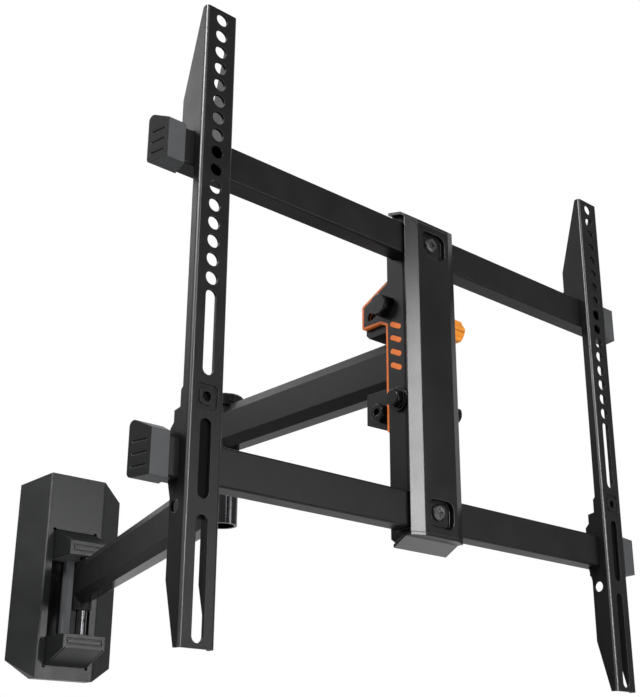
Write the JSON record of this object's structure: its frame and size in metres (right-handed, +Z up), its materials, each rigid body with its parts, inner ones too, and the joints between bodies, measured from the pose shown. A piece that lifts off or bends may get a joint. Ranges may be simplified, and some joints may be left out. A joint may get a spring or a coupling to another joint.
{
  "type": "swivel tv wall mount",
  "caption": "Swivel wall mount for a flat screen with folding arms, a tilting column, crossbars and slotted hook-on brackets with spring latches.",
  "frame": {"origin": "centre of the wall plate's back face, on the wall", "axes": "+Z up, +Y into the wall, +X to the right when facing the screen side; the screen is on the -Y side"},
  "size_m": [0.4732, 0.754, 0.4158],
  "materials": {
    "coated_steel": "satin black powder coat",
    "black_plastic": "fine grained charcoal plastic",
    "orange_plastic": "satin orange plastic",
    "bright_steel": "zinc plated steel",
    "black_steel": "black oxide steel",
    "bush_plastic": "dark bearing plastic"
  },
  "bodies": {
    "wall": {"wall_plate": "coated_steel", "wall_cover": "black_plastic", "shoulder_bracket": "coated_steel", "upper_ear_cap": "black_plastic", "lower_ear_cap": "black_plastic", "shoulder_bolt": "bright_steel", "shoulder_nut": "bright_steel", "shoulder_spacers": "bright_steel"},
    "rear_arm": {"shoulder_barrel": "coated_steel", "shoulder_bushes": "bush_plastic", "rear_arm_tube": "coated_steel", "rear_elbow_barrel": "coated_steel", "elbow_pin": "bright_steel", "elbow_washer": "bright_steel", "elbow_screw": "bright_steel"},
    "front_arm": {"front_elbow_barrel": "coated_steel", "elbow_bushes": "bush_plastic", "elbow_cap": "black_plastic", "front_arm_tube": "coated_steel", "head_barrel": "coated_steel", "swivel_bushes": "bush_plastic"},
    "yoke": {"swivel_yoke": "coated_steel", "swivel_bolt": "bright_steel", "swivel_nut": "bright_steel", "yoke_socket_nut": "black_steel", "yoke_cross_bolt": "black_steel", "tilt_pivot_bolt": "black_steel", "tilt_pivot_nut": "black_steel", "tilt_lock_rod": "bright_steel"},
    "head": {"column_channel": "coated_steel", "column_cover": "black_plastic", "column_top_cap": "black_plastic", "column_bottom_cap": "black_plastic", "left_tilt_liner": "orange_plastic", "right_tilt_liner": "orange_plastic", "upper_crossbar": "coated_steel", "lower_crossbar": "coated_steel", "clamp_screws": "black_steel", "upper_left_end_cap": "black_plastic", "upper_right_end_cap": "black_plastic", "lower_left_end_cap": "black_plastic", "lower_right_end_cap": "black_plastic"},
    "left_knob": {"left_lock_knob": "black_plastic"},
    "right_knob": {"right_lock_knob": "orange_plastic"},
    "left_bracket": {"left_screen_bracket": "coated_steel"},
    "right_bracket": {"right_screen_bracket": "coated_steel"},
    "left_latch": {"left_latch": "coated_steel"},
    "right_latch": {"right_latch": "coated_steel"}
  },
  "joints": [
    {"name": "shoulder_swing", "type": "hinge", "parent": "wall", "child": "rear_arm", "pos_m": [0, -0.044, -0.0128], "axis": [0, 0, 1], "range_deg": [-73, 107]},
    {"name": "elbow_fold", "type": "hinge", "parent": "rear_arm", "child": "front_arm", "pos_m": [-0.14034, -0.50303, 0.017], "axis": [0, 0, 1], "range_deg": [-147, 113]},
    {"name": "head_swivel", "type": "hinge", "parent": "front_arm", "child": "yoke", "pos_m": [-0.14034, -0.71403, 0.0438], "axis": [0, 0, 1], "range_deg": [-60, 60]},
    {"name": "head_tilt", "type": "hinge", "parent": "yoke", "child": "head", "pos_m": [-0.14034, -0.73653, 0.0095], "axis": [1, 0, 0], "range_deg": [-5, 10]},
    {"name": "left_knob_turn", "type": "hinge", "parent": "yoke", "child": "left_knob", "pos_m": [-0.14034, -0.72183, 0.085], "axis": [1, 0, 0], "continuous": true},
    {"name": "right_knob_turn", "type": "hinge", "parent": "yoke", "child": "right_knob", "pos_m": [-0.14034, -0.72183, 0.085], "axis": [1, 0, 0], "continuous": true},
    {"name": "left_bracket_slide", "type": "slide", "parent": "head", "child": "left_bracket", "axis": [1, 0, 0], "range_m": [-0.003, 0.11]},
    {"name": "right_bracket_slide", "type": "slide", "parent": "head", "child": "right_bracket", "axis": [1, 0, 0], "range_m": [-0.11, 0.003]},
    {"name": "left_latch_pull", "type": "slide", "parent": "left_bracket", "child": "left_latch", "axis": [0, 0, 1], "range_m": [-0.009, 0], "stiffness_N_per_m": 300, "springref_m": 0.006},
    {"name": "right_latch_pull", "type": "slide", "parent": "right_bracket", "child": "right_latch", "axis": [0, 0, 1], "range_m": [-0.009, 0], "stiffness_N_per_m": 300, "springref_m": 0.006}
  ]
}
